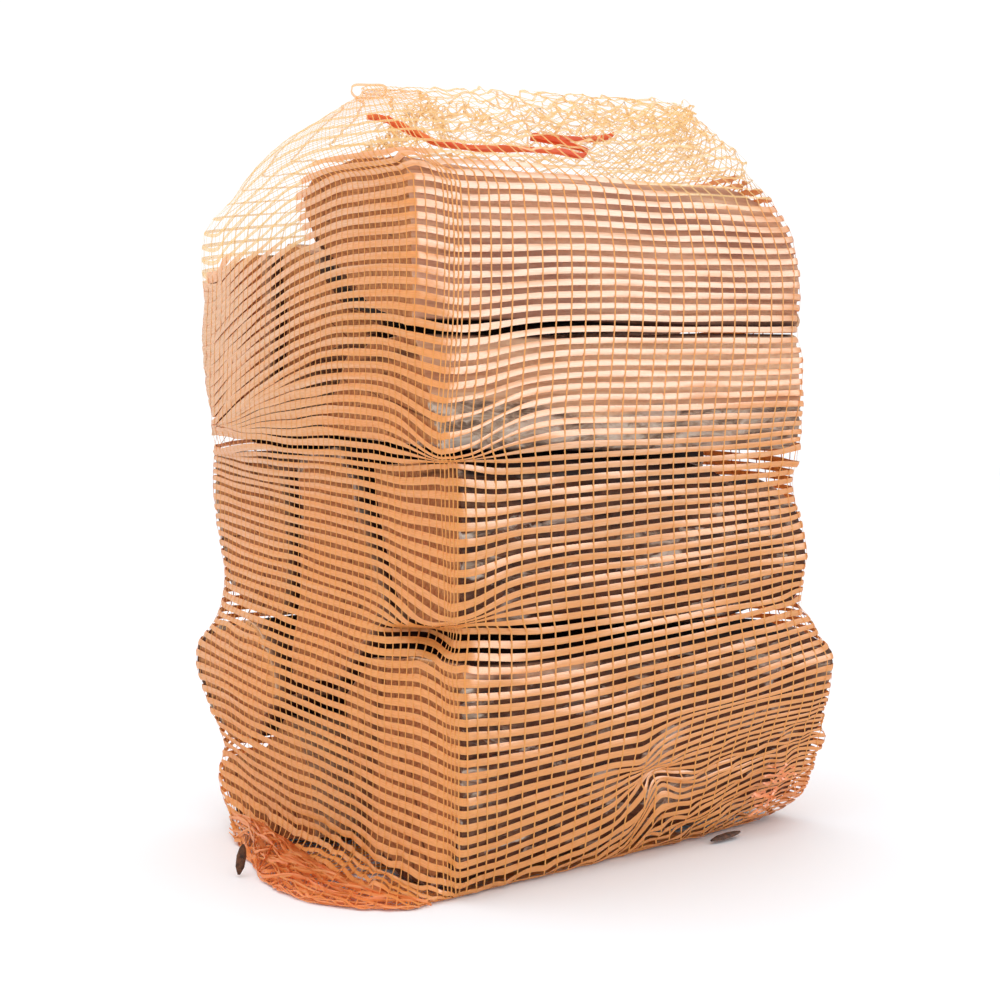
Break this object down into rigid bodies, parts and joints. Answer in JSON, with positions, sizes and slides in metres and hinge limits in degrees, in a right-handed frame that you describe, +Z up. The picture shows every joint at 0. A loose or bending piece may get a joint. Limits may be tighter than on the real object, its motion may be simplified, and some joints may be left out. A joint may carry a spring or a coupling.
{
  "type": "net bag of firewood",
  "caption": "Open-weave net bag filled with split firewood logs stacked crosswise, standing on its gathered bottom, with loose net folded over the top.",
  "frame": {"origin": "middle of the footprint's box, on the surface the bag stands on", "axes": "+Z up; the logs lie along X, with the sawn ends that the gathered bottom of the net reaches out under towards -X"},
  "size_m": [0.3194, 0.2502, 0.4018],
  "materials": {
    "split_wood": "rough split and sawn, unfinished",
    "net": "woven flat plastic tape, slightly glossy and see-through",
    "bark": "rough bark"
  },
  "bodies": {
    "root": {"log_bottom_front": "split_wood", "log_bottom_back": "split_wood", "log_lower_back": "split_wood", "log_middle_front": "split_wood", "log_middle_centre": "split_wood", "log_middle_back": "split_wood", "log_upper_front": "split_wood", "log_upper_back": "split_wood", "log_top_wedge": "split_wood", "log_top_front": "split_wood", "net_bag": "net", "bark_sliver_front": "bark", "bark_sliver_side": "bark"}
  },
  "joints": []
}
